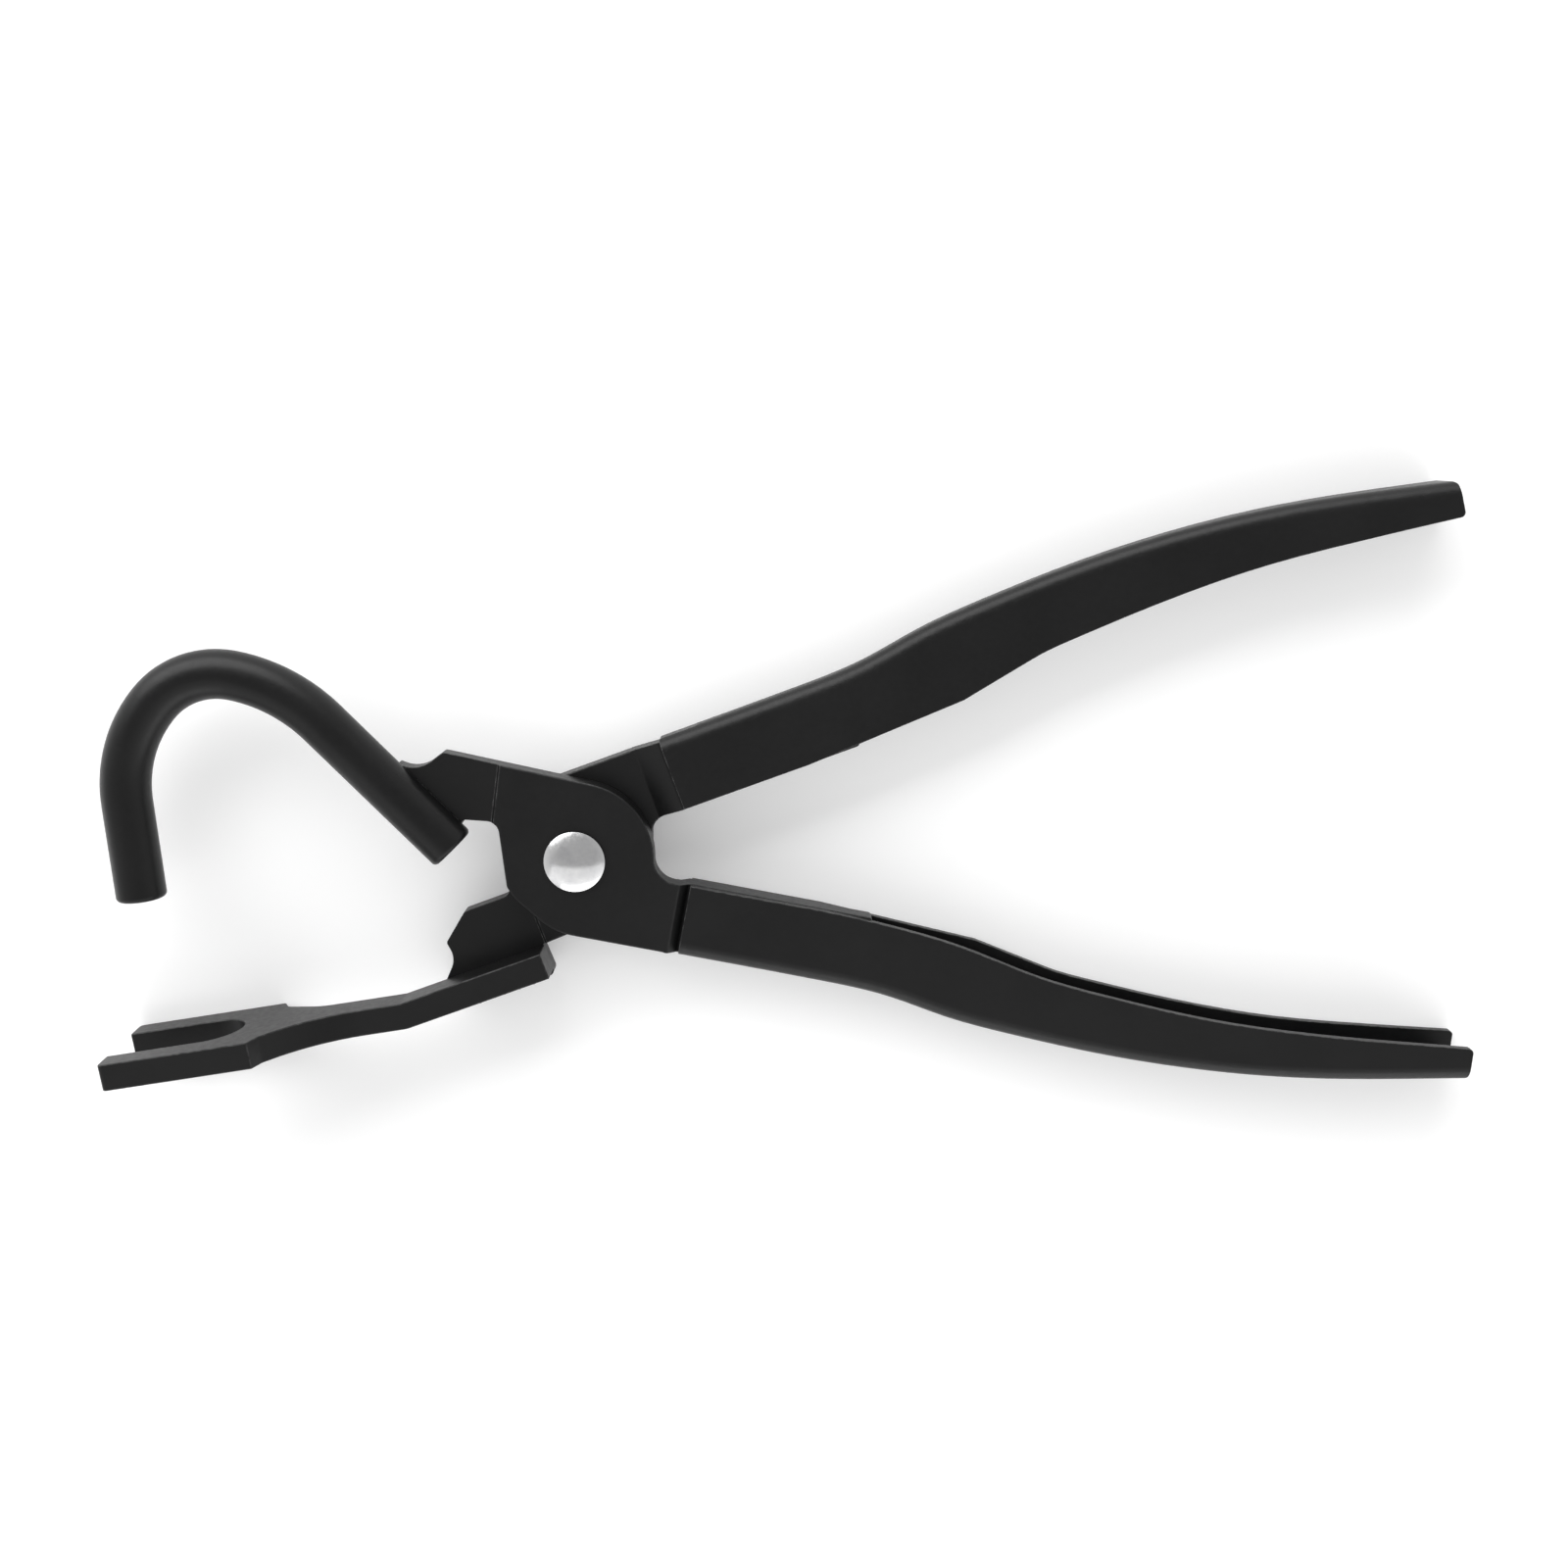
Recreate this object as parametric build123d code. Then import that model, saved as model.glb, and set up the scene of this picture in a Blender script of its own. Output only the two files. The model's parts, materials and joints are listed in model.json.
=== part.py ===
from build123d import *
import os
from math import asin, atan2, cos, degrees, radians, sin

# Exhaust-hanger pliers: a bent push rod and a slotted fork on two riveted lever arms.
#
# Each arm is a head plate, a jaw welded to it and a folded channel handle. The arms are drawn
# about the pivot, with +X towards the handles, +Y towards the upper handle and +Z towards the
# domed rivet head, and are moved to the final origin when they are written.

# Lever arms, heights along the pivot axis counted from the sliding plane between the plates
PLATE = 5.0  # plate thickness
PLATE_GAP = 0.1  # half the gap between the two plates
JAW_RELIEF = 0.5  # how far the jaw part of each plate's front face is set back
BEVEL = 0.5  # run of the sloping wall at the front plate's set-back
PLATE_EDGE = 0.3  # edge rounding of the plates
FRONT_LOW = PLATE_GAP
FRONT_HIGH = PLATE_GAP + PLATE
BACK_LOW = -PLATE_GAP - PLATE
BACK_HIGH = -PLATE_GAP
JAW_FACE = BACK_HIGH - JAW_RELIEF  # front face of the back plate where the fork bar lies

# Rivet
SHANK_R = 4.0
RUNNING = 0.05  # radial clearance in the front plate's bore
HEAD_R = 6.2
HEAD_RIM = 0.7  # height of the head's straight rim
HEAD_DOME = 1.6  # rise of the dome above the rim
HEAD_GAP = 0.1  # between the head and the front plate
TAIL_R = 5.6
TAIL_RIM = 0.8
TAIL_DOME = 0.9

# Handles, in a frame of their own: u runs from the mouth to the tail, v towards the web
SHEET = 1.6
TANG_LENGTH = 38.0
TANG_HALF = PLATE / 2
MOUTH_HALF = TANG_HALF + SHEET
TAIL_HALF = 7.1
TAIL_U = 165.2  # at the web
TAIL_V = -5.1
TAIL_SLOPE = -0.22
TAIL_LEAN = 0.1  # how far the end falls back towards the flanges, per mm
WEB_POINTS = (
    (0, 0.1), (30, 0.2), (44, 0.85), (57, 2.95), (70, 4.05), (92, 4.7), (131, 1.8), (TAIL_U, TAIL_V),
)
FLANGE_EDGE = -15.0  # at the mouth
FLANGE_LEVEL_U = 27.0  # where the flange edges stop running level
BELLY = (60.5, -13.25)  # sharp corner of the longer flange
BELLY_FOOT = (76.0, -10.1)
LONG_TAIL = ((86, -9.0), (98, -8.3), (112, -7.9), (126, -8.2), (145, -9.9), (TAIL_U, -12.2))
SHORT_TAIL = (
    (42, -14.4), (59, -12.5), (73, -9.7), (90, -8.1), (112, -7.4), (140, -9.2), (TAIL_U, -12.2),
)
WEB_ROUND = 3.0
MOUTH_ROUND = 0.5
TAIL_ROUND = 1.0
UPPER_ANGLE = 20.0
UPPER_MOUTH = (17.15, 24.55)
LOWER_ANGLE = -10.8
LOWER_MOUTH = (20.6, -20.3)
UPPER_RAMP = (-5.8, -0.6)  # where the tang's step starts and ends, before the mouth
LOWER_RAMP = (-2.2, -0.4)
RAMP_ROUND = 0.6
TANG_OUTER = -0.55  # plate's outer edge, just inside the web's outer face
TANG_STEP = -3.1  # tang's outer edge inside the channel
TANG_INNER_END = -15.1

# Push rod, a round bar bent in one plane
ROD_R = 5.0
ROD_Z = 5.0
ROD_END = (-24.6, 2.5)
ROD_ANGLE = 134.4
ROD_STRAIGHT = 36.2
ROD_BENDS = ((34.0, 33.9), (16.8, 60.1), (27.3, 46.8))  # radius, turn
ROD_TIP = 19.9
ROD_EDGE = 1.0
ROD_SEAT = (1.5, 15.1)  # stretch of the rod that the plate's edge lies along
SEAT_BITE = 0.5  # depth that the plate's edge is hollowed to seat the rod

# Fork, a flat bar with a widened slotted end
FORK_THICK = 5.5
FORK_WIDTH = 26.8
FORK_BACK = -7.8
FORK_SLOPE = 9.0
BAR_SLOPE = 20.0
FORK_BEND = (-36.2, -29.45)  # bend line on the top face
FORK_REACH = 59.3  # bend line to prong tips
BAR_REACH = 30.8
BAR_WIDTH = 8.0
NECK_END = 18.0  # bend line to where the neck's edges would meet the shoulders' slopes
SHOULDER_END = 28.7  # bend line to the full width, at the front
BACK_SHOULDER_END = 27.6
SHOULDER_STEP = (1.4, 3.2)  # steep first part of each shoulder, along and across
BACK_NECK_R = 12.0
FRONT_NECK_R = 26.0
SLOT_WIDTH = 14.3
SLOT_DEPTH = 26.3
PRONG_ROUND = 1.0
BEND_R = 3.0
FORK_EDGE = 0.25

PLATE_LIP = 1.2  # how far the back plate shows below the fork bar

# Welds; the handles' beads are given as (u, height) outlines
BEAD = 1.5
UPPER_BEAD = ((0, -2.3), (0, -3.9), (-1.8, -4.4), (-3.7, -4.2), (-3.0, -2.3))
LOWER_BEAD = ((0, -2.3), (0, -3.8), (-1.3, -3.2), (-2.7, -0.9), (-2.9, 0.6), (-0.5, 0.6))


def polar(length, angle):
    return (length * cos(radians(angle)), length * sin(radians(angle)))


def outline(corners):
    """Closed face from (x, y, corner radius) in order."""
    points = [(x, y) for x, y, r in corners]
    return make_face(FilletPolyline(*points, radius=[r for x, y, r in corners], close=True))


def slab(face, low, high):
    return Pos(0, 0, low) * extrude(face, high - low)


def upper(u, v):
    """Point of the upper handle's frame, in the plane of the arms."""
    along = polar(u, UPPER_ANGLE)
    across = polar(v, UPPER_ANGLE + 90)
    return (UPPER_MOUTH[0] + along[0] + across[0], UPPER_MOUTH[1] + along[1] + across[1])


def lower(u, v):
    """The same for the lower handle, whose web faces down."""
    along = polar(u, LOWER_ANGLE)
    across = polar(v, LOWER_ANGLE - 90)
    return (LOWER_MOUTH[0] + along[0] + across[0], LOWER_MOUTH[1] + along[1] + across[1])


def beside_rod(along, across):
    """Point of the plates' plane, counted from the rod's root end and its axis."""
    a = polar(along, ROD_ANGLE)
    b = polar(across, ROD_ANGLE - 90)
    return (ROD_END[0] + a[0] + b[0], ROD_END[1] + a[1] + b[1])


def on_bar(along, below):
    """Point of the fork bar, counted from the bend line and down from the top face."""
    a = polar(along, BAR_SLOPE)
    b = polar(below, BAR_SLOPE - 90)
    return (FORK_BEND[0] + a[0] + b[0], FORK_BEND[1] + a[1] + b[1])


def tang_corners(place):
    """Corners of a tang from its inner end round to the step that fits it into the channel's mouth."""
    return [
        (*place(TANG_LENGTH, TANG_INNER_END), 0.8),
        (*place(TANG_LENGTH, TANG_STEP), 0.8),
        (*place(0, TANG_STEP), 0.3),
        (*place(0, TANG_OUTER), 0),
    ]


def joggle(place, angle, head_low, ramp_start, ramp_end):
    """Ribbon one plate thick that steps from the head's height to the handle's middle plane."""
    reach = 90
    rise = -TANG_HALF - head_low
    low = [
        (-reach, head_low, 0), (ramp_start, head_low, RAMP_ROUND),
        (ramp_end, head_low + rise, RAMP_ROUND), (reach, head_low + rise, 0),
    ]
    high = [(u, z + PLATE, r) for u, z, r in reversed(low)]
    x, y = place(0, 0)
    plane = Plane((x, y, 0), x_dir=(*polar(1, angle), 0), z_dir=(*polar(1, angle - 90), 0))
    return extrude(plane * outline(low + high), reach, both=True)


def rounded_slab(face, low):
    """Flat plate with its outline's edges rounded on both faces."""
    plate = slab(face, low, low + PLATE)
    return fillet([e for e in plate.edges() if abs(e.tangent_at(0.5).Z) < 0.5], PLATE_EDGE)


def stepped_plate(face, place, angle, head_low, ramp):
    """Head plate whose tang steps over to the handle's middle plane along the ramp."""
    margin = 0.8
    start = ramp[0] - margin
    end = ramp[1] + margin
    frame = Pos(*place(0, 0)) * Rot(0, 0, angle)
    step = frame * Pos((start + end) / 2, 0) * Box(end - start, 120, 40)
    head_side = frame * Pos(start - 60, 0) * Box(120, 120, 40)
    tang_side = frame * Pos(end + 60, 0) * Box(120, 120, 40)
    ramped = slab(face, -8, 8) & joggle(place, angle, head_low, *ramp) & step
    return (rounded_slab(face, head_low) & head_side) + ramped + (rounded_slab(face, -TANG_HALF) & tang_side)


def set_back(start, end, face):
    """Wedge above a jaw part: removes JAW_RELIEF behind a sloping wall from start to end."""
    angle = degrees(atan2(end[1] - start[1], end[0] - start[0]))
    plane = Plane((*start, face), x_dir=(*polar(1, angle - 90), 0), z_dir=(*polar(1, angle + 180), 0))
    reach = 60
    wall = Polyline(
        (0, 0), (BEVEL, -JAW_RELIEF), (reach, -JAW_RELIEF), (reach, reach), (0, reach), close=True
    )
    return extrude(plane * make_face(wall), reach, both=True)


def head_plate_front(rod):
    """Front plate: pivot disc, jaw part that ends along the rod, tang of the lower handle."""
    disc = 16.1
    corners = [
        (-26.1, 22.3, 1.0),
        (disc, 13.0, disc - 0.3),
        (disc, -4.0, 5.0),
        *tang_corners(lower),
        (-4.6, -14.94, 14.0),
        (-12.5, -7.8, 7.0),
        (-13.95, -5.4, 1.0),
        (-15.5, 8.0, 2.6),
        (-22.4, 8.5, 0.8),
        (*beside_rod(ROD_SEAT[0], 2), 0),
        (*beside_rod(20.0, 2), 0),
        (*beside_rod(20.0, ROD_R - 0.4), 0),
        (-31.2, 18.4, 6.0),
    ]
    plate = stepped_plate(outline(corners), lower, LOWER_ANGLE, FRONT_LOW, LOWER_RAMP)
    plate -= Cylinder(SHANK_R + RUNNING, 40)
    edge = Pos(*beside_rod(20, ROD_R - SEAT_BITE - 30)) * Rot(0, 0, ROD_ANGLE) * Box(44, 60, 40)
    return plate - edge - rod - set_back((-14.55, 20.5), (-16.45, 7.0), FRONT_HIGH)


def head_plate_back():
    """Back plate: pivot disc, jaw part behind the fork bar, tang of the upper handle."""
    left = -14.2
    right = 15.4
    lip = FORK_THICK + PLATE_LIP
    corners = [
        (left, -8.5, 2.0),
        (left, 12.5, 12.5),
        *reversed(tang_corners(upper)),
        (right, 7.6, 4.5),
        (right, -9.4, 14.0),
        (*on_bar(BAR_REACH - 0.3, -0.1), 0.4),
        (*on_bar(BAR_REACH - 0.1, lip), 1.2),
        (*on_bar(2.6, lip), 4.0),
        (-25.8, -22.0, 4.5),
        (-27.6, -18.6, 0.8),
        (-23.7, -12.0, 1.0),
    ]
    plate = stepped_plate(outline(corners), upper, UPPER_ANGLE, BACK_LOW, UPPER_RAMP)
    plate -= Cylinder(SHANK_R, 40)
    crease = BAR_REACH + BEVEL + 0.2
    return plate - set_back(on_bar(crease, -9), on_bar(crease, 0), BACK_HIGH)


def push_rod():
    """Round bar: straight along the plate, over in three bends, straight to the tip."""
    path = [Line(ROD_END, beside_rod(ROD_STRAIGHT, 0))]
    for radius, turn in ROD_BENDS:
        path.append(JernArc(path[-1] @ 1, path[-1] % 1, radius, turn))
    path.append(Line(path[-1] @ 1, path[-1] @ 1 + (path[-1] % 1) * ROD_TIP))
    wire = Wire([edge for line in path for edge in line.edges()])
    rod = sweep(Plane(wire @ 0, z_dir=wire % 0) * Circle(ROD_R), path=wire)
    circles = rod.edges().filter_by(GeomType.CIRCLE)
    ends = [e for e in circles for p in (wire @ 0, wire @ 1) if (e.arc_center - p).length < 0.5]
    return Pos(0, 0, ROD_Z) * fillet(ends, ROD_EDGE)


def fork_profile():
    """Edge view of the fork: slotted end and bar joined by one bend."""
    tip = polar(FORK_REACH, FORK_SLOPE + 180)
    below_tip = polar(FORK_THICK, FORK_SLOPE - 90)
    half_turn = (BAR_SLOPE - FORK_SLOPE) / 2
    below_bend = polar(FORK_THICK / cos(radians(half_turn)), BAR_SLOPE - half_turn - 90)
    x, y = FORK_BEND
    return outline([
        (x + tip[0], y + tip[1], 0),
        (x, y, BEND_R),
        (*on_bar(BAR_REACH, 0), 0),
        (*on_bar(BAR_REACH, FORK_THICK), 0),
        (x + below_bend[0], y + below_bend[1], BEND_R + FORK_THICK),
        (x + tip[0] + below_tip[0], y + tip[1] + below_tip[1], 0),
    ])


def fork_plan():
    """Flat view of the fork: x runs from the bend line to the tips, y along the pivot axis."""
    back = FORK_BACK
    front = FORK_BACK + FORK_WIDTH
    bar_front = JAW_FACE + BAR_WIDTH
    along, across = SHOULDER_STEP
    body = outline([
        (-60, JAW_FACE, 0),
        (NECK_END, JAW_FACE, BACK_NECK_R),
        (BACK_SHOULDER_END - along, back + across, 1.5),
        (BACK_SHOULDER_END, back, 0),
        (FORK_REACH, back, PRONG_ROUND),
        (FORK_REACH, front, PRONG_ROUND),
        (SHOULDER_END, front, 0),
        (SHOULDER_END - along, front - across, 1.5),
        (NECK_END, bar_front, FRONT_NECK_R),
        (-60, bar_front, 0),
    ])
    slot_r = SLOT_WIDTH / 2
    centre = Pos(FORK_REACH - SLOT_DEPTH + slot_r, (back + front) / 2)
    return body - centre * Circle(slot_r) - centre * Pos(40, 0) * Rectangle(80, SLOT_WIDTH)


def fork_jaw():
    """Flat bar bent at the neck, with two prongs either side of a round-ended slot."""
    towards_tip = (*polar(1, FORK_SLOPE + 180), 0)
    face = Plane((*FORK_BEND, 0), x_dir=towards_tip, z_dir=(*polar(1, FORK_SLOPE + 90), 0))
    bent = extrude(fork_profile(), 60, both=True)
    fork = bent & extrude(face * fork_plan(), 80, both=True)
    return fillet(fork.edges(), FORK_EDGE)


def web_line(drop):
    points = [(u, v - drop) for u, v in WEB_POINTS]
    return Spline(*points, tangents=((1, 0), (1, TAIL_SLOPE)))


def channel_form(inset, rounding):
    """Solid under the web and between the walls, inset from the channel's outer surface."""
    floor = -40
    web = web_line(inset)
    side = make_face([
        web,
        Line(web @ 1, (TAIL_U, floor)),
        Line((TAIL_U, floor), (0, floor)),
        Line((0, floor), web @ 0),
    ])
    mouth = MOUTH_HALF - inset
    tail = TAIL_HALF - inset
    walls = []
    for sign in (-1, 1):
        walls.append(Line((0, sign * mouth), (TANG_LENGTH, sign * mouth)))
        walls.append(TangentArc((TANG_LENGTH, sign * mouth), (TAIL_U, sign * tail), tangent=(1, 0)))
    ends = [Line((0, -mouth), (0, mouth)), Line((TAIL_U, -tail), (TAIL_U, tail))]
    plan = make_face(walls + ends)
    form = extrude(side, 20, both=True) & extrude(Plane.XZ * plan, 60, both=True)
    bends = [e for e in form.edges() if e.center().Y > -4 and e.length > 20]
    return fillet(bends, rounding)


def below_flange(edge, low, high):
    """Everything below one flange's free edge."""
    depth = -60
    last = edge[-1] @ 1
    border = [
        Line(last, (last.X, depth)),
        Line((last.X, depth), (0, depth)),
        Line((0, depth), (0, FLANGE_EDGE)),
    ]
    return slab(make_face(edge + border), low, high)


def handle():
    """Folded channel in its own frame; the wall on the +Z side has the longer flange."""
    channel = channel_form(0, WEB_ROUND) - channel_form(SHEET, WEB_ROUND - SHEET)
    start = (FLANGE_LEVEL_U, FLANGE_EDGE)
    level = Line((0, FLANGE_EDGE), start)
    long_edge = [level, Line(start, BELLY), Line(BELLY, BELLY_FOOT)]
    long_edge.append(Spline(BELLY_FOOT, *LONG_TAIL, tangents=((1, 0.22), (1, -0.12))))
    short_edge = [level, Spline(start, *SHORT_TAIL, tangents=((1, 0), (1, -0.12)))]
    channel -= below_flange(long_edge, 0, 20)
    channel -= below_flange(short_edge, -20, 0)
    over = TAIL_V - TAIL_SLOPE * 15
    ends = outline([
        (0, -30, 0), (0, 0, MOUTH_ROUND), (8, 0, 0), (30, 10, 0), (100, 10, 0),
        (TAIL_U - 15, over, 0), (TAIL_U, TAIL_V, TAIL_ROUND), (TAIL_U - TAIL_LEAN * 24, TAIL_V - 24, 0),
    ])
    channel &= slab(ends, -20, 20)
    corners = [e for e in channel.edges() if e.center().X > TAIL_U - 4 and e.center().Y < -11]
    return fillet([e for e in corners if abs(e.tangent_at(0.5).Z) > 0.9], TAIL_ROUND)


def cap_line(radius, rim, rise):
    """Arc of a spherical cap, from its top on the axis out to its rim."""
    sphere = (radius ** 2 + rise ** 2) / (2 * abs(rise))
    half = asin(radius / sphere) / 2
    drop = sphere * (1 - cos(half)) * (1 if rise > 0 else -1)
    middle = (sphere * sin(half), rim + rise - drop)
    return ThreePointArc((0, rim + rise), middle, (radius, rim))


def pivot_rivet():
    """Domed head, shank through both plates and a flatter tail head formed at the back."""
    seat = FRONT_HIGH + HEAD_GAP
    rim = seat + HEAD_RIM
    tail_rim = BACK_LOW - TAIL_RIM
    section = make_face([
        cap_line(HEAD_R, rim, HEAD_DOME),
        Line((HEAD_R, rim), (HEAD_R, seat)),
        Line((HEAD_R, seat), (SHANK_R, seat)),
        Line((SHANK_R, seat), (SHANK_R, BACK_LOW)),
        Line((SHANK_R, BACK_LOW), (TAIL_R, BACK_LOW)),
        Line((TAIL_R, BACK_LOW), (TAIL_R, tail_rim)),
        cap_line(TAIL_R, tail_rim, -TAIL_DOME),
        Line((0, tail_rim - TAIL_DOME), (0, rim + HEAD_DOME)),
    ])
    return revolve(Plane.XZ * section, Axis.Z)


def rod_weld(rod, plate):
    """Bead in the groove behind the rod, along the plate's edge."""
    start = ROD_SEAT[0] + 0.6
    plane = Plane(
        (*beside_rod(start, 0), 0),
        x_dir=(*polar(1, ROD_ANGLE - 90), 0),
        z_dir=(*polar(1, ROD_ANGLE + 180), 0),
    )
    low = FRONT_LOW + 0.2
    section = make_face(Polyline((1, low), (5.2, low), (5.2, 2.4), (1, 2.4), close=True))
    return largest(extrude(plane * section, start - ROD_SEAT[1]) - rod - plate)


def fork_weld(fork, plate):
    """Fillet along the bar's lower face, on the lip of the back plate."""
    start = 10
    plane = Plane(
        (*on_bar(start, 0), 0),
        x_dir=(*polar(1, BAR_SLOPE - 90), 0),
        z_dir=(*polar(1, BAR_SLOPE + 180), 0),
    )
    corner = FORK_THICK
    section = make_face(Polyline(
        (corner - 0.5, JAW_FACE - 0.3),
        (corner + PLATE_LIP - 0.1, JAW_FACE - 0.3),
        (corner + PLATE_LIP - 0.3, JAW_FACE + 0.6),
        (corner, JAW_FACE + BEAD),
        (corner - 0.5, JAW_FACE + BEAD),
        close=True,
    ))
    return largest(extrude(plane * section, start + 1 - BAR_REACH) - fork - plate)


def mouth_weld(place, angle, section, plate, channel):
    """Bead across the back of a handle's mouth; the section is in the u and height plane."""
    x, y = place(0, -4)
    along = place(0, -13.5)
    across = Vector(along[0] - x, along[1] - y, 0)
    plane = Plane((x, y, 0), x_dir=(*polar(1, angle), 0), z_dir=(*polar(1, angle - 90), 0))
    length = across.length if across.dot(plane.z_dir) > 0 else -across.length
    bead = extrude(plane * make_face(Polyline(*section, close=True)), length)
    return largest(bead - plate - channel)


def largest(shape):
    return shape.solids().sort_by(SortBy.VOLUME)[-1]


def build():
    rod = push_rod()
    front = head_plate_front(rod)
    back = head_plate_back()
    fork = fork_jaw()
    blank = handle()
    above = Pos(*UPPER_MOUTH) * Rot(0, 0, UPPER_ANGLE) * blank
    below = Pos(*LOWER_MOUTH) * Rot(0, 0, LOWER_ANGLE) * Rot(180, 0, 0) * blank
    return {
        "head_plate_front": front,
        "head_plate_back": back,
        "push_rod": rod,
        "fork_jaw": fork,
        "handle_upper": above,
        "handle_lower": below,
        "pivot_rivet": pivot_rivet(),
        "rod_weld": rod_weld(rod, front),
        "fork_weld": fork_weld(fork, back),
        "handle_weld_upper": mouth_weld(upper, UPPER_ANGLE, UPPER_BEAD, back, above),
        "handle_weld_lower": mouth_weld(lower, LOWER_ANGLE, LOWER_BEAD, front, below),
    }


def main():
    parts = build()
    boxes = [shape.bounding_box() for shape in parts.values()]
    left = min(b.min.X for b in boxes)
    right = max(b.max.X for b in boxes)
    bottom = min(b.min.Y for b in boxes)
    top = max(b.max.Y for b in boxes)
    origin = Vector((left + right) / 2, (bottom + top) / 2, min(b.min.Z for b in boxes))
    os.makedirs("parts", exist_ok=True)
    for name, shape in parts.items():
        export_step(Pos(*(-origin)) * largest(shape), f"parts/{name}.step")
    print("pivot at", -origin, "length", right - left, "width", top - bottom)


if __name__ == "__main__":
    main()
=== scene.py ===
import json
from math import cos, pi, radians, sin

import bmesh
import bpy
from mathutils import Matrix, Vector


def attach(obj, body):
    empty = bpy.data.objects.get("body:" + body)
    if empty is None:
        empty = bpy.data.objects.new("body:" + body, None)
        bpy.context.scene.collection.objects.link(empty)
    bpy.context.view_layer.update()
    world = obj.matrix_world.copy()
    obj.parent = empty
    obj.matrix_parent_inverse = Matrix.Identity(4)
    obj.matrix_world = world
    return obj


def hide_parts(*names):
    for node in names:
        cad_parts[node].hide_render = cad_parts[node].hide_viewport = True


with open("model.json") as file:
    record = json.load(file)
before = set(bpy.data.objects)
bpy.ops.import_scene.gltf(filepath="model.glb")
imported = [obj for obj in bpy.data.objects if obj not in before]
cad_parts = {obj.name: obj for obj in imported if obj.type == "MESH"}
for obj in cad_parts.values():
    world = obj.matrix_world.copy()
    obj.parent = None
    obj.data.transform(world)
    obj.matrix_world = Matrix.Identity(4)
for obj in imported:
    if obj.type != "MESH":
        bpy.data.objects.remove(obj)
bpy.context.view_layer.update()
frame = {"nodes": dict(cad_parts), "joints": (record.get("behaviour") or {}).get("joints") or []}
nodes = frame["nodes"]
pivot = Vector(frame["joints"][0]["pos_m"])

# Camera: nearly along the pivot, leaning over to the upper handle's side
LENS_MM = 43.4
DISTANCE = 0.386
TILT = radians(10.3)
AIM = pivot + Vector((0.0425, 0.0150, 0.0))

# Light
SKY_LOW = 0.9  # at the horizon
SKY_HIGH = 0.5  # overhead
SKY_RISE = (0.35, 0.8)  # height on the sky where the change starts and ends
BOX_DISTANCE = 1.2  # from the aim to each softbox

# Floor
FLOOR_DROP = 0.0005
FLOOR_REACH = 3.0
FLOOR_GLOW = 0.15  # keeps the floor's shadows pale

# Noise scales, in features per metre
CLOUD = 60
# noise that breaks up the painted edge highlight
HIGHLIGHT_NOISE = 700
GLOSS = 900
ORANGE_PEEL = 2600
STEEL_CLOUD = 400
STEEL_GLOSS = 1500
WELD_CLOUD = 900
WELD_GLOSS = 1800
SPATTER = 3200

NOISE_RANGE = (0.3, 0.7)  # where nearly all noise values lie
CLOUD_RANGE = (0.35, 0.65)

# Coat
EDGE_START = 0.995  # cosine between face and rounded edge where the painted edge highlight starts
EDGE_FULL = 0.90
BASE = 0.005  # coat's reflectance
GLOSS_SPREAD = 0.04  # change of roughness to either side
EDGE_HIGHLIGHT = 0.16  # colour of the painted highlight on the rounded edges
EDGE_RADIUS = 0.0003
PEEL = 0.3  # strength of the orange peel
PEEL_DEPTH = 0.00004
SPATTER_DEPTH = 0.00006

# Weld beads
RIPPLE = 0.0011  # pitch of the ripples
RING_STEP = 0.00011
RING_POINTS = 28
LEAN = 0.3  # how far a crescent leads at its middle, in ripples
VALLEY = 0.84  # share of the radius between two ripples
RISE = 0.14  # what a ripple adds to it
SHALLOWEST = 0.02  # keeps the end rings from closing to a point


def new_material(name):
    material = bpy.data.materials.new(name)
    material.use_nodes = True
    tree = material.node_tree
    return material, tree, tree.nodes["Principled BSDF"]


def link(tree, source, target):
    tree.links.new(source, target)


def node(tree, kind, **values):
    """New shader node with properties and input values set by name."""
    made = tree.nodes.new(kind)
    for key, value in values.items():
        if hasattr(made, key):
            setattr(made, key, value)
        else:
            made.inputs[key.replace("_", " ")].default_value = value
    return made


def noise(tree, scale, detail=2.0):
    """Noise over the object's own space, in features per metre."""
    place = node(tree, "ShaderNodeTexCoord")
    texture = node(tree, "ShaderNodeTexNoise", Scale=scale, Detail=detail)
    link(tree, place.outputs["Object"], texture.inputs["Vector"])
    return texture.outputs["Fac"]


def grey(value):
    return (value, value, value, 1)


def ramp(tree, factor, low, high, dark, light):
    """Colour ramp from dark to light between two factor values."""
    made = node(tree, "ShaderNodeValToRGB")
    made.color_ramp.elements[0].position = low
    made.color_ramp.elements[1].position = high
    made.color_ramp.elements[0].color = dark
    made.color_ramp.elements[1].color = light
    link(tree, factor, made.inputs["Fac"])
    return made.outputs["Color"]


def spread(tree, factor, low, high):
    """Noise stretched over low to high."""
    made = node(tree, "ShaderNodeMapRange")
    made.inputs["From Min"].default_value = NOISE_RANGE[0]
    made.inputs["From Max"].default_value = NOISE_RANGE[1]
    made.inputs["To Min"].default_value = low
    made.inputs["To Max"].default_value = high
    link(tree, factor, made.inputs["Value"])
    return made.outputs["Result"]


def edge_mask(tree, rounded):
    """0 on the flats, rising to 1 where the rounded normal leaves the face's own."""
    surface = node(tree, "ShaderNodeNewGeometry")
    meet = node(tree, "ShaderNodeVectorMath", operation="DOT_PRODUCT")
    link(tree, rounded.outputs["Normal"], meet.inputs[0])
    link(tree, surface.outputs["True Normal"], meet.inputs[1])
    made = node(tree, "ShaderNodeMapRange")
    made.inputs["From Min"].default_value = EDGE_START
    made.inputs["From Max"].default_value = EDGE_FULL
    link(tree, meet.outputs["Value"], made.inputs["Value"])
    return made.outputs["Result"]


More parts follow.
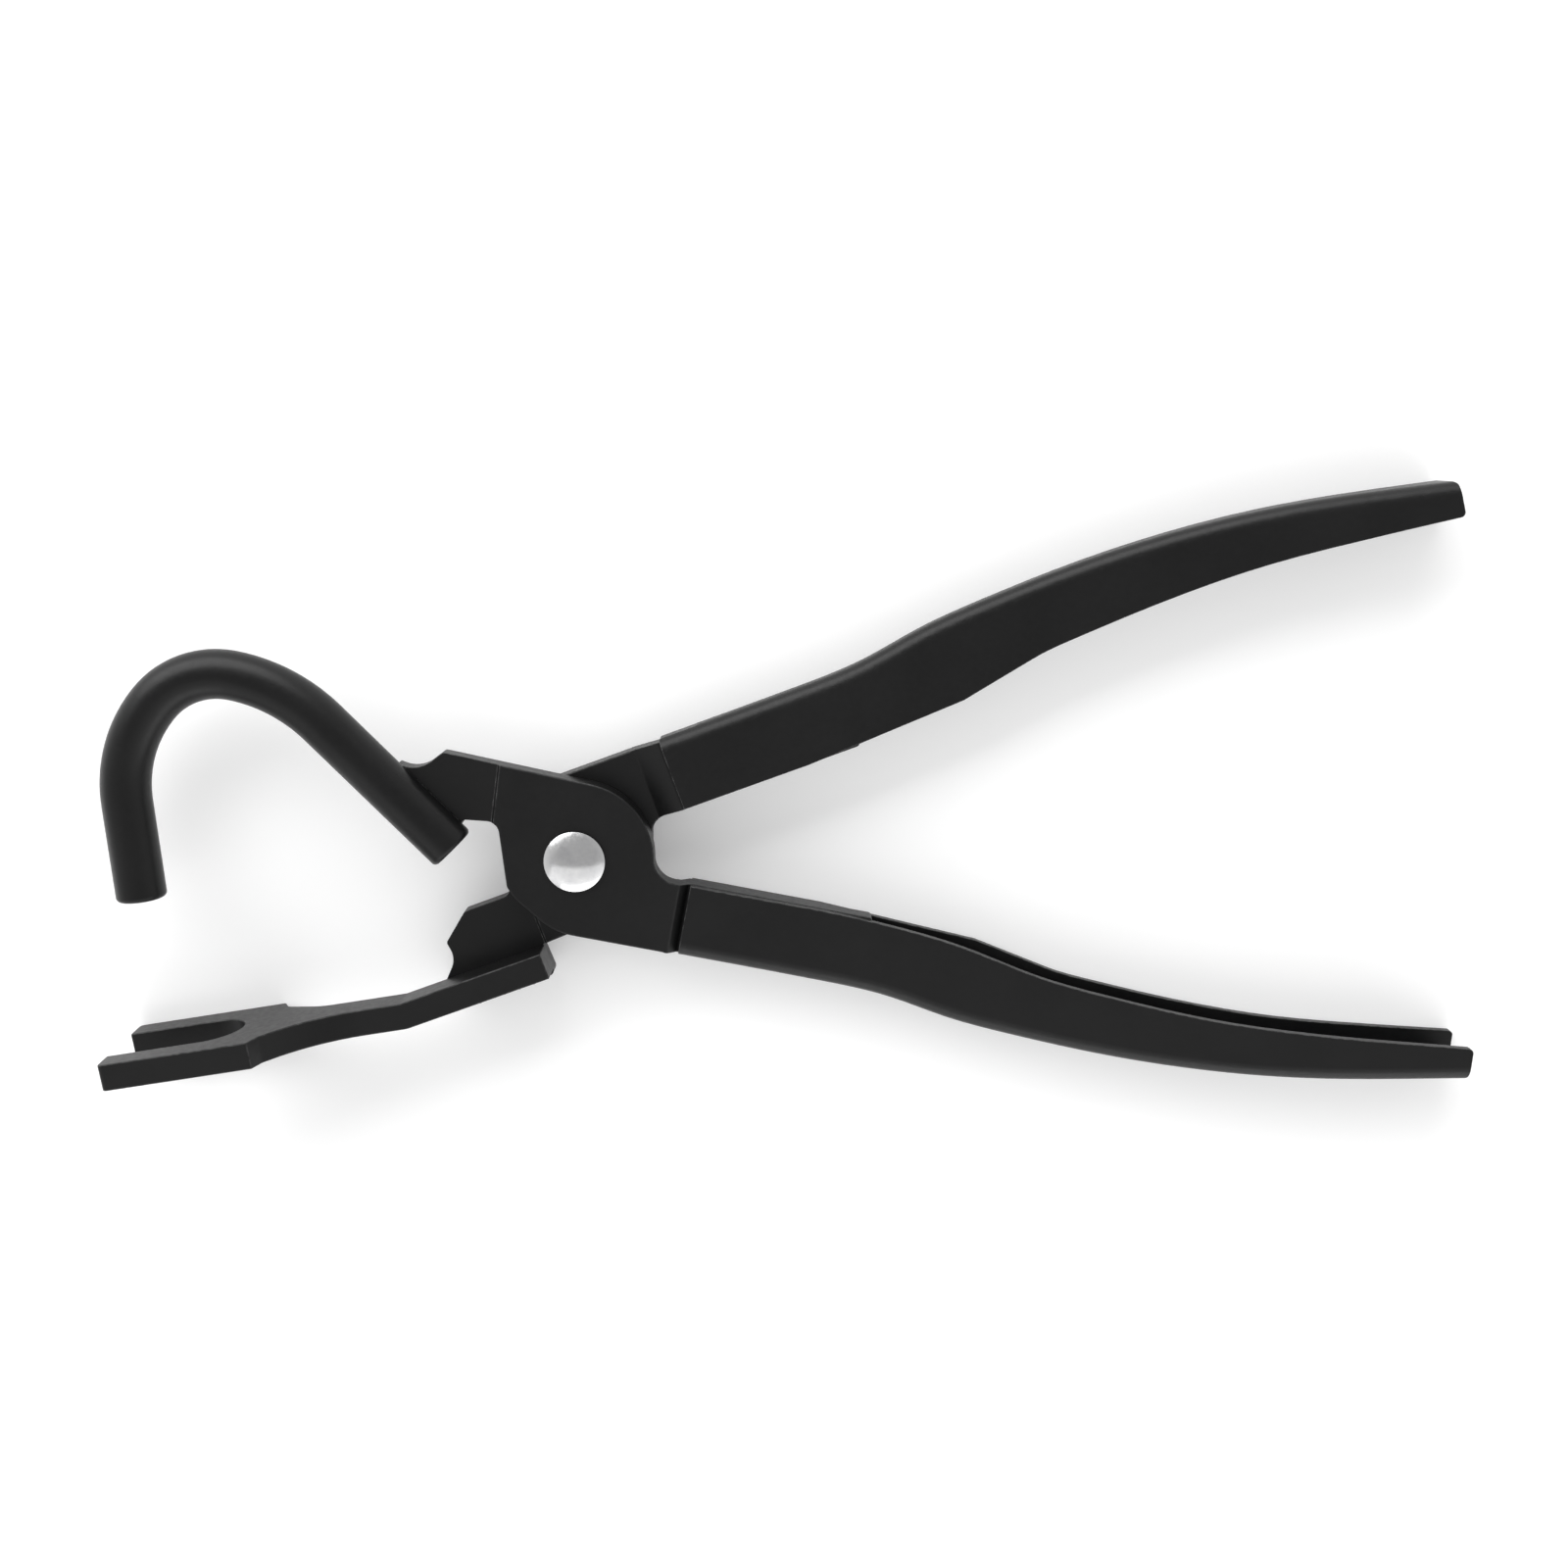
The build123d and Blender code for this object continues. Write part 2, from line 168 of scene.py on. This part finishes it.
def coat(name, roughness):
    """Thin satin black coat: faint clouds, uneven gloss, fine orange peel, painted highlights on
    the rounded edges.
    """
    material, tree, shader = new_material(name)
    rounded = node(tree, "ShaderNodeBevel", samples=4, Radius=EDGE_RADIUS)
    cloud = noise(tree, CLOUD, 4)
    dark = (BASE * 0.85, BASE * 0.85, BASE * 0.87, 1)
    light = (BASE * 1.2, BASE * 1.2, BASE * 1.22, 1)
    # Painted highlight: the rounded edges take a far lighter colour than the coat, broken up by
    # noise
    highlight_colour = grey(EDGE_HIGHLIGHT)
    highlit_edges = node(tree, "ShaderNodeMix", data_type="RGBA")
    share, whole_coat, highlight_input = (highlit_edges.inputs[i] for i in (0, 6, 7))
    link(tree, edge_mask(tree, rounded), share)
    link(tree, ramp(tree, cloud, *CLOUD_RANGE, dark, light), whole_coat)
    link(tree, ramp(tree, noise(tree, HIGHLIGHT_NOISE, 4), *NOISE_RANGE, dark, highlight_colour), highlight_input)
    link(tree, highlit_edges.outputs[2], shader.inputs["Base Color"])
    gloss = noise(tree, GLOSS, 3)
    uneven = spread(tree, gloss, roughness - GLOSS_SPREAD, roughness + GLOSS_SPREAD)
    link(tree, uneven, shader.inputs["Roughness"])
    shader.inputs["Specular IOR Level"].default_value = 0.25
    bump = node(tree, "ShaderNodeBump", Strength=PEEL, Distance=PEEL_DEPTH)
    link(tree, noise(tree, ORANGE_PEEL, 2), bump.inputs["Height"])
    link(tree, rounded.outputs["Normal"], bump.inputs["Normal"])
    link(tree, bump.outputs["Normal"], shader.inputs["Normal"])
    return material


def bright_steel(name):
    """Polished rivet: plated steel, faintly cloudy, with uneven gloss."""
    material, tree, shader = new_material(name)
    shader.inputs["Metallic"].default_value = 1.0
    cloud = noise(tree, STEEL_CLOUD, 3)
    tint = ramp(tree, cloud, *NOISE_RANGE, (0.60, 0.60, 0.61, 1), grey(0.70))
    link(tree, tint, shader.inputs["Base Color"])
    gloss = noise(tree, STEEL_GLOSS, 4)
    link(tree, spread(tree, gloss, 0.14, 0.24), shader.inputs["Roughness"])
    return material


def weld_coat(name):
    """The same coat over a weld: a little glossier, with fine spatter under it."""
    material, tree, shader = new_material(name)
    cloud = noise(tree, WELD_CLOUD, 4)
    dark = (0.004, 0.004, 0.0042, 1)
    light = (0.010, 0.0098, 0.0096, 1)
    tint = ramp(tree, cloud, *CLOUD_RANGE, dark, light)
    link(tree, tint, shader.inputs["Base Color"])
    link(tree, spread(tree, noise(tree, WELD_GLOSS, 3), 0.3, 0.42), shader.inputs["Roughness"])
    shader.inputs["Specular IOR Level"].default_value = 0.35
    bump = node(tree, "ShaderNodeBump", Strength=0.5, Distance=SPATTER_DEPTH)
    link(tree, noise(tree, SPATTER, 3), bump.inputs["Height"])
    link(tree, bump.outputs["Normal"], shader.inputs["Normal"])
    return material


def bead_radius(along, turn, radius):
    """Radius of the bead: overlapping crescents, one for each dip of the welding rod."""
    phase = along / RIPPLE + LEAN * cos(turn + pi / 2)
    dip = abs(sin(pi * phase)) ** 0.7
    wander = 0.04 * sin(along * 2100) + 0.03 * sin(along * 3700 + 2 * turn)
    return radius * (VALLEY + RISE * dip + wander)


def end_taper(u, length, radius):
    """Share of the full radius at u: a quarter circle at each end."""
    rise = min(1.0, min(u, length - u) / radius)
    return max((1 - (1 - rise) ** 2) ** 0.5, SHALLOWEST)


def bead_rows(mesh, weld, along, side, up, radius):
    """Rings of vertices along the middle of a plain weld solid."""
    points = [v.co for v in nodes[weld].data.vertices]
    spans = []
    for axis in (along, side, up):
        reach = [p.dot(axis) for p in points]
        spans.append((min(reach), max(reach)))
    (start, end), across, height = spans
    core = side * (sum(across) / 2) + up * (sum(height) / 2)
    length = end - start
    rings = round(length / RING_STEP)
    rows = []
    for i in range(rings + 1):
        u = length * i / rings
        taper = end_taper(u, length, radius)
        row = []
        for k in range(RING_POINTS):
            turn = 2 * pi * k / RING_POINTS
            r = bead_radius(u, turn, radius) * taper
            spot = core + along * (start + u) + side * (r * cos(turn)) + up * (r * sin(turn))
            row.append(mesh.verts.new(spot))
        rows.append(row)
    return rows


def skin(mesh, rows):
    """Closed smooth surface over the rings."""
    for low, high in zip(rows, rows[1:]):
        for k in range(RING_POINTS):
            n = (k + 1) % RING_POINTS
            mesh.faces.new((low[k], low[n], high[n], high[k]))
    mesh.faces.new(reversed(rows[0]))
    mesh.faces.new(rows[-1])
    for face in mesh.faces:
        face.smooth = True
    bmesh.ops.recalc_face_normals(mesh, faces=mesh.faces)


def weld_bead(name, weld, body, angle, radius, material):
    """Rippled bead along a plain weld solid, which it stands for; angle in degrees from +X."""
    along = Vector((cos(radians(angle)), sin(radians(angle)), 0))
    up = Vector((0, 0, 1))
    mesh = bmesh.new()
    skin(mesh, bead_rows(mesh, weld, along, up.cross(along), up, radius))
    data = bpy.data.meshes.new(name)
    mesh.to_mesh(data)
    mesh.free()
    data.materials.append(material)
    bead = bpy.data.objects.new(name, data)
    bpy.context.scene.collection.objects.link(bead)
    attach(bead, body)
    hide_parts(weld)


def paint(names, material):
    """Material for CAD nodes that show themselves."""
    for name in names:
        mesh = nodes[name].data
        mesh.materials.clear()
        mesh.materials.append(material)


def make_floor():
    mesh = bpy.data.meshes.new("floor")
    signs = ((-1, -1), (1, -1), (1, 1), (-1, 1))
    corners = [(x * FLOOR_REACH, y * FLOOR_REACH, -FLOOR_DROP) for x, y in signs]
    mesh.from_pydata(corners, [], [(0, 1, 2, 3)])
    floor = bpy.data.objects.new("floor", mesh)
    bpy.context.scene.collection.objects.link(floor)
    material, tree, shader = new_material("pale_floor")
    shader.inputs["Base Color"].default_value = grey(0.9)
    shader.inputs["Roughness"].default_value = 0.9
    shader.inputs["Specular IOR Level"].default_value = 0.0
    shader.inputs["Emission Color"].default_value = grey(1.0)
    shader.inputs["Emission Strength"].default_value = FLOOR_GLOW
    mesh.materials.append(material)


def softbox(name, towards, width, height, radiance):
    """Flat light that faces the aim; its power follows from the radiance wanted."""
    light = bpy.data.lights.new(name, "AREA")
    light.shape = "RECTANGLE"
    light.size = width
    light.size_y = height
    light.energy = radiance * pi * width * height
    lamp = bpy.data.objects.new(name, light)
    direction = Vector(towards).normalized()
    lamp.location = AIM + direction * BOX_DISTANCE
    lamp.rotation_mode = "QUATERNION"
    lamp.rotation_quaternion = direction.to_track_quat("Z", "Y")
    bpy.context.scene.collection.objects.link(lamp)


def make_sky():
    """Pale sky, dimmer overhead than at the horizon."""
    world = bpy.data.worlds.new("studio")
    world.use_nodes = True
    tree = world.node_tree
    place = node(tree, "ShaderNodeTexCoord")
    axes = node(tree, "ShaderNodeSeparateXYZ")
    link(tree, place.outputs["Generated"], axes.inputs["Vector"])
    shade = ramp(tree, axes.outputs["Z"], *SKY_RISE, grey(SKY_LOW), grey(SKY_HIGH))
    link(tree, shade, tree.nodes["Background"].inputs["Color"])
    bpy.context.scene.world = world


def make_softboxes():
    softbox("key", (-0.5, 1.0, 0.5), width=1.8, height=0.9, radiance=4.0)
    softbox("fill", (0.2, -1.0, 0.35), width=1.8, height=0.6, radiance=1.5)
    softbox("overhead", (0.0, -0.68, 0.73), width=2.6, height=0.95, radiance=0.55)


def make_camera():
    data = bpy.data.cameras.new("camera")
    data.sensor_width = 36
    data.lens = LENS_MM
    data.clip_start = 0.01
    camera = bpy.data.objects.new("camera", data)
    right = Vector((1, 0, 0))
    up = Vector((0, cos(TILT), -sin(TILT)))
    back = Vector((0, sin(TILT), cos(TILT)))
    turn = Matrix((right, up, back)).transposed()
    camera.matrix_world = Matrix.Translation(AIM + back * DISTANCE) @ turn.to_4x4()
    bpy.context.scene.collection.objects.link(camera)
    bpy.context.scene.camera = camera


def colour_management():
    view = bpy.context.scene.view_settings
    view.view_transform = "Standard"
    view.look = "None"


make_floor()
make_sky()
make_softboxes()
make_camera()
colour_management()

paint(["head_plate_front", "head_plate_back"], coat("plate_coat", 0.38))
paint(["push_rod", "fork_jaw"], coat("bar_coat", 0.36))
paint(["handle_upper", "handle_lower"], coat("sheet_coat", 0.38))
paint(["pivot_rivet"], bright_steel("rivet_steel"))

bead_coat = weld_coat("bead_coat")
weld_bead("rod_bead", "rod_weld", "rod_half", 134.4, 0.0013, bead_coat)
weld_bead("fork_bead", "fork_weld", "fork_half", 20.0, 0.0012, bead_coat)
weld_bead("upper_mouth_bead", "handle_weld_upper", "fork_half", 110.0, 0.0015, bead_coat)
weld_bead("lower_mouth_bead", "handle_weld_lower", "rod_half", 79.2, 0.0016, bead_coat)
